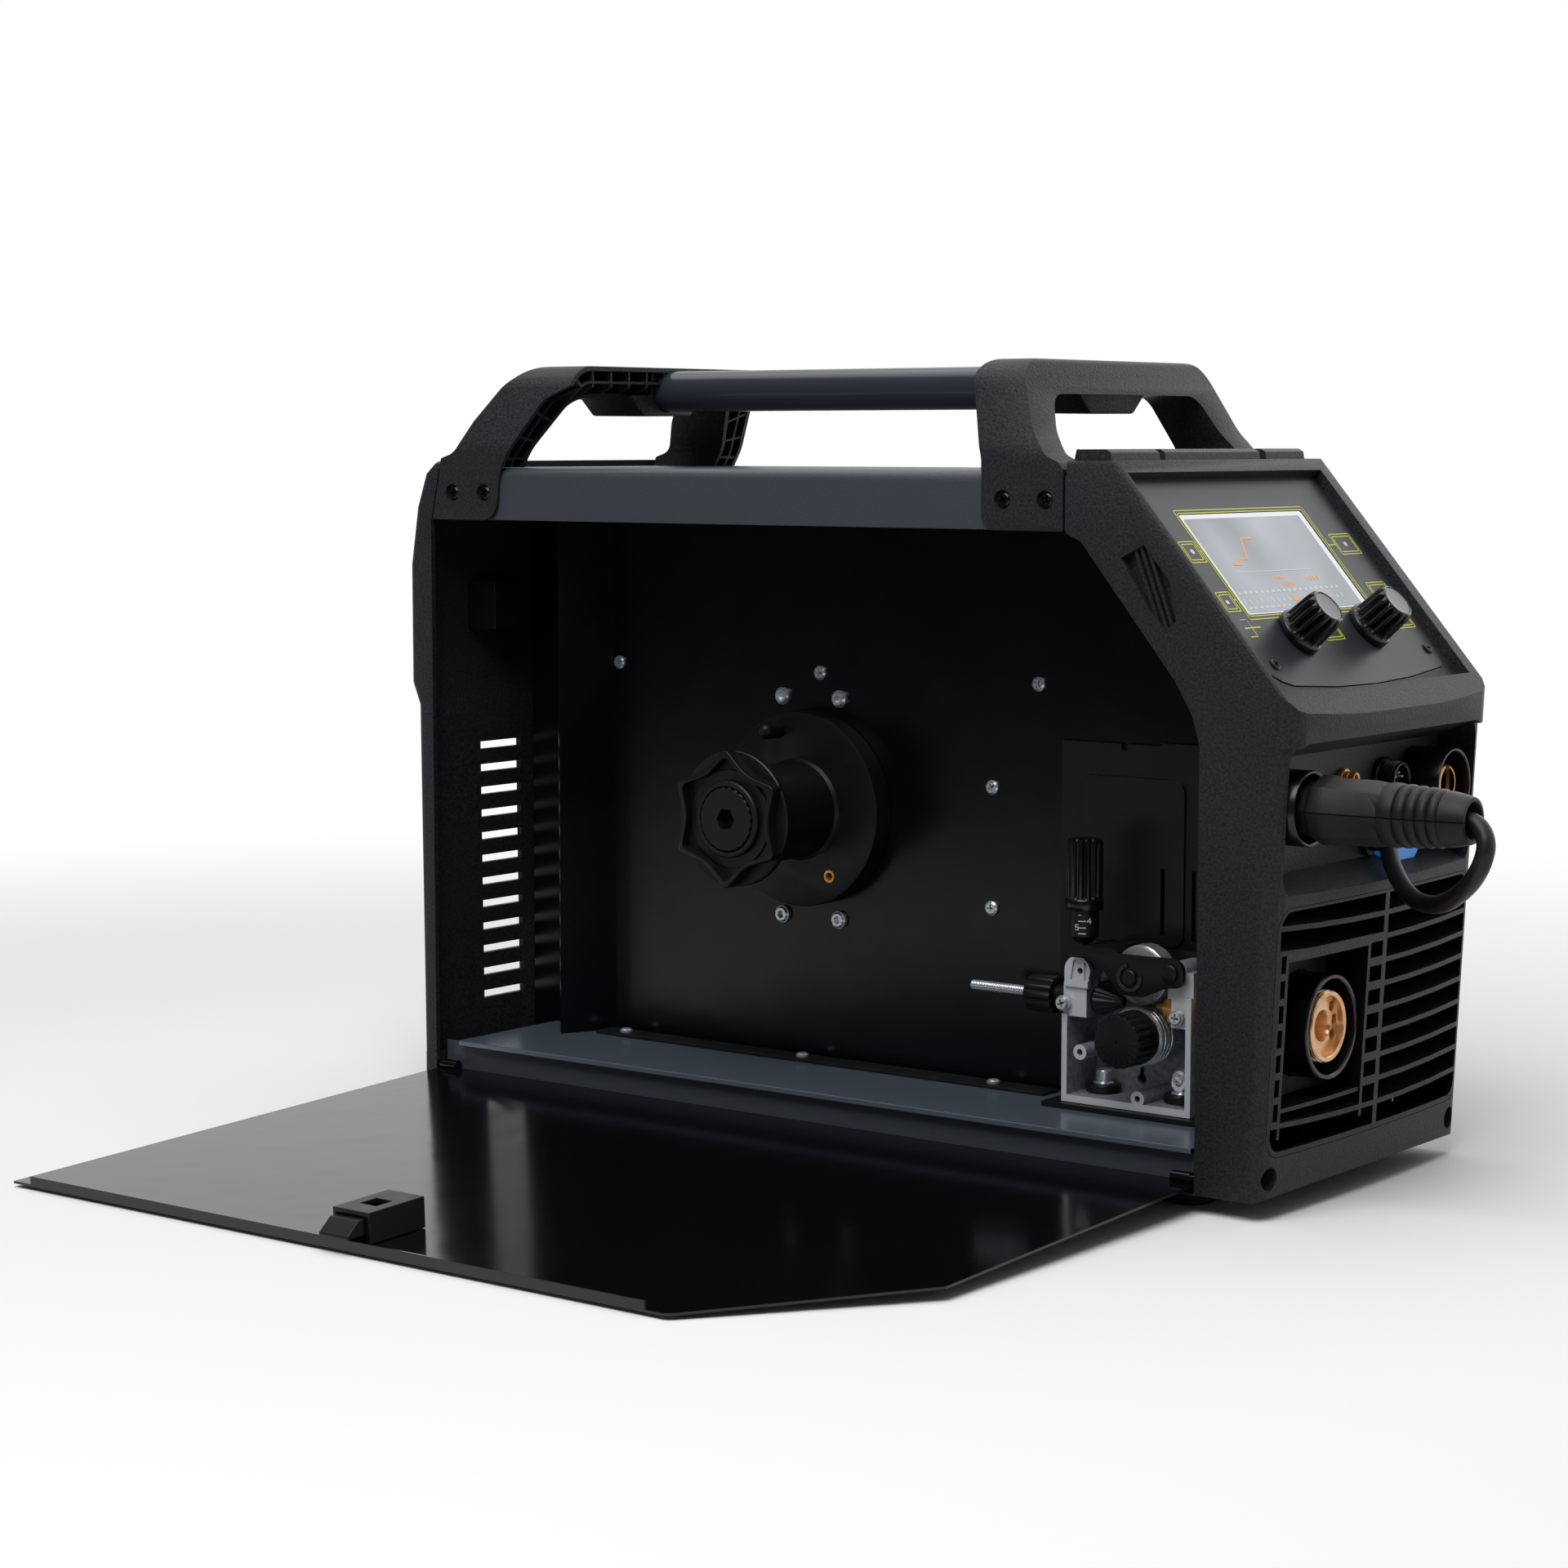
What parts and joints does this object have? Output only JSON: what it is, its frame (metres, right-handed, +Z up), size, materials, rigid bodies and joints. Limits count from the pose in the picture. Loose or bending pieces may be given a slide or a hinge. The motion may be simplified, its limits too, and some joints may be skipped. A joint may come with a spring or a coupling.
{
  "type": "wire feeder",
  "caption": "Compact wire feeder in a box-shaped welding power source, with a fold-down side door, spool hub, drive rolls, sloping control panel and bar handle.",
  "frame": {"origin": "on the ground under the middle of the object at rest with its door down, leaving out the plug and lead", "axes": "+X towards the front with the control panel, +Y away from the door side, +Z up"},
  "size_m": [0.6412, 0.4882, 0.3895],
  "materials": {
    "base_tray": "powder coat",
    "floor_plate": "satin",
    "bulkhead": "semi-gloss",
    "top_cover": "powder coat",
    "front_bezel": "fine texture",
    "front_grille": "fine texture",
    "socket_panel": "fine texture",
    "rear_bezel": "fine texture",
    "front_handle_bracket": "fine texture",
    "rear_handle_bracket": "fine texture",
    "handle_tube": "gloss",
    "foot_1": "moulded",
    "foot_2": "moulded",
    "foot_3": "moulded",
    "foot_4": "moulded",
    "seal_strip": "moulded",
    "hub_support": "zinc plated",
    "spool_hub": "moulded",
    "spool_nut": "moulded",
    "brake_adjuster": "moulded",
    "feeder_housing": "die cast",
    "feeder_base_plate": "moulded",
    "isolating_washer_1": "moulded",
    "isolating_washer_2": "moulded",
    "gear_motor": "zinc plated",
    "drive_roll": "ground",
    "drive_roll_cap": "moulded",
    "pressure_arm": "moulded",
    "arm_pivot_pin": "ground",
    "pressure_roll": "ground",
    "tension_column": "zinc plated",
    "tension_sleeve": "moulded",
    "tension_knob": "moulded",
    "inlet_guide": "moulded",
    "inlet_tube": "drawn",
    "outlet_guide": "turned",
    "backing_cover": "moulded",
    "euro_shroud": "moulded",
    "euro_adaptor": "turned",
    "left_socket": "moulded",
    "right_socket": "moulded",
    "left_contact": "turned",
    "right_contact": "turned",
    "control_socket": "moulded",
    "gas_outlet": "turned",
    "plug_body": "moulded",
    "polarity_cable": "smooth sheath",
    "fan_frame": "moulded",
    "fan_rotor": "moulded",
    "mains_switch": "moulded",
    "switch_rocker": "moulded",
    "mains_gland": "moulded",
    "gas_inlet": "turned",
    "control_panel": "satin film",
    "display_lens": "clear",
    "knob_left": "moulded",
    "knob_right": "moulded",
    "door": "semi-gloss",
    "latch_housing": "moulded",
    "latch_bolt": "moulded"
  },
  "bodies": {
    "chassis": {"base_tray": "base_tray", "floor_plate": "floor_plate", "bulkhead": "bulkhead", "top_cover": "top_cover", "front_bezel": "front_bezel", "front_grille": "front_grille", "socket_panel": "socket_panel", "rear_bezel": "rear_bezel", "front_handle_bracket": "front_handle_bracket", "rear_handle_bracket": "rear_handle_bracket", "handle_tube": "handle_tube", "foot_1": "foot_1", "foot_2": "foot_2", "foot_3": "foot_3", "foot_4": "foot_4", "seal_strip": "seal_strip", "hub_support": "hub_support", "feeder_housing": "feeder_housing", "feeder_base_plate": "feeder_base_plate", "isolating_washer_1": "isolating_washer_1", "isolating_washer_2": "isolating_washer_2", "gear_motor": "gear_motor", "arm_pivot_pin": "arm_pivot_pin", "inlet_guide": "inlet_guide", "inlet_tube": "inlet_tube", "outlet_guide": "outlet_guide", "backing_cover": "backing_cover", "euro_shroud": "euro_shroud", "euro_adaptor": "euro_adaptor", "left_socket": "left_socket", "right_socket": "right_socket", "left_contact": "left_contact", "right_contact": "right_contact", "control_socket": "control_socket", "gas_outlet": "gas_outlet", "plug_body": "plug_body", "polarity_cable": "polarity_cable", "fan_frame": "fan_frame", "mains_switch": "mains_switch", "mains_gland": "mains_gland", "gas_inlet": "gas_inlet", "control_panel": "control_panel", "display_lens": "display_lens"},
    "door": {"door": "door", "latch_housing": "latch_housing"},
    "latch": {"latch_bolt": "latch_bolt"},
    "hub": {"spool_hub": "spool_hub"},
    "hub_nut": {"spool_nut": "spool_nut"},
    "brake": {"brake_adjuster": "brake_adjuster"},
    "drive": {"drive_roll": "drive_roll", "drive_roll_cap": "drive_roll_cap"},
    "arm": {"pressure_arm": "pressure_arm"},
    "press": {"pressure_roll": "pressure_roll"},
    "tensioner": {"tension_column": "tension_column"},
    "sleeve": {"tension_sleeve": "tension_sleeve"},
    "tension_grip": {"tension_knob": "tension_knob"},
    "left_dial": {"knob_left": "knob_left"},
    "right_dial": {"knob_right": "knob_right"},
    "fan": {"fan_rotor": "fan_rotor"},
    "rocker": {"switch_rocker": "switch_rocker"}
  },
  "joints": [
    {"name": "door_hinge", "type": "hinge", "parent": "chassis", "child": "door", "pos_m": [-0.00748, 0.05107, 0.016], "axis": [-1, 0, 0], "range_deg": [0, 92.2]},
    {"name": "latch_slide", "type": "slide", "parent": "door", "child": "latch", "axis": [0, 0.9993, 0.0384], "range_m": [0, 0.008], "stiffness_N_per_m": 150, "springref_m": -0.004},
    {"name": "hub_spin", "type": "hinge", "parent": "chassis", "child": "hub", "pos_m": [-0.05248, 0.09307, 0.1612], "axis": [0, -1, 0], "continuous": true},
    {"name": "nut_turn", "type": "hinge", "parent": "hub", "child": "hub_nut", "pos_m": [-0.05248, 0.06207, 0.1612], "axis": [0, -1, 0], "range_deg": [0, 90]},
    {"name": "brake_turn", "type": "hinge", "parent": "chassis", "child": "brake", "pos_m": [-0.05248, 0.06407, 0.1612], "axis": [0, -1, 0], "range_deg": [-90, 90]},
    {"name": "drive_spin", "type": "hinge", "parent": "chassis", "child": "drive", "pos_m": [0.16392, 0.10607, 0.0678], "axis": [0, 1, 0], "continuous": true},
    {"name": "arm_lift", "type": "hinge", "parent": "chassis", "child": "arm", "pos_m": [0.18762, 0.10607, 0.1018], "axis": [0, 1, 0], "range_deg": [0, 4], "stiffness_Nm_per_rad": 1.5, "springref_deg": -1.15},
    {"name": "press_spin", "type": "hinge", "parent": "arm", "child": "press", "pos_m": [0.16552, 0.10607, 0.0978], "axis": [0, 1, 0], "continuous": true},
    {"name": "tensioner_swing", "type": "hinge", "parent": "chassis", "child": "tensioner", "pos_m": [0.13302, 0.10207, 0.0974], "axis": [0, -1, 0], "range_deg": [0, 60]},
    {"name": "sleeve_slide", "type": "slide", "parent": "tensioner", "child": "sleeve", "axis": [0, 0, 1], "range_m": [0, 0.005]},
    {"name": "tension_turn", "type": "hinge", "parent": "tensioner", "child": "tension_grip", "pos_m": [0.13302, 0.10207, 0.145], "axis": [0, 0, 1], "range_deg": [-180, 180]},
    {"name": "left_dial_turn", "type": "hinge", "parent": "chassis", "child": "left_dial", "pos_m": [0.24253, 0.10937, 0.26238], "axis": [0.7613, 0, 0.6484], "continuous": true},
    {"name": "right_dial_turn", "type": "hinge", "parent": "chassis", "child": "right_dial", "pos_m": [0.24253, 0.17677, 0.26238], "axis": [0.7613, 0, 0.6484], "continuous": true},
    {"name": "fan_spin", "type": "hinge", "parent": "chassis", "child": "fan", "pos_m": [-0.23648, 0.18807, 0.136], "axis": [1, 0, 0], "continuous": true},
    {"name": "rocker_tilt", "type": "hinge", "parent": "chassis", "child": "rocker", "pos_m": [-0.25698, 0.10007, 0.262], "axis": [0, 1, 0], "range_deg": [-16, 0]}
  ],
  "couplings": [
    {"joint": "press_spin", "follows": "drive_spin", "ratio": -1.0208},
    {"joint": "sleeve_slide", "follows": "arm_lift", "m_per_rad": 0.0546}
  ]
}
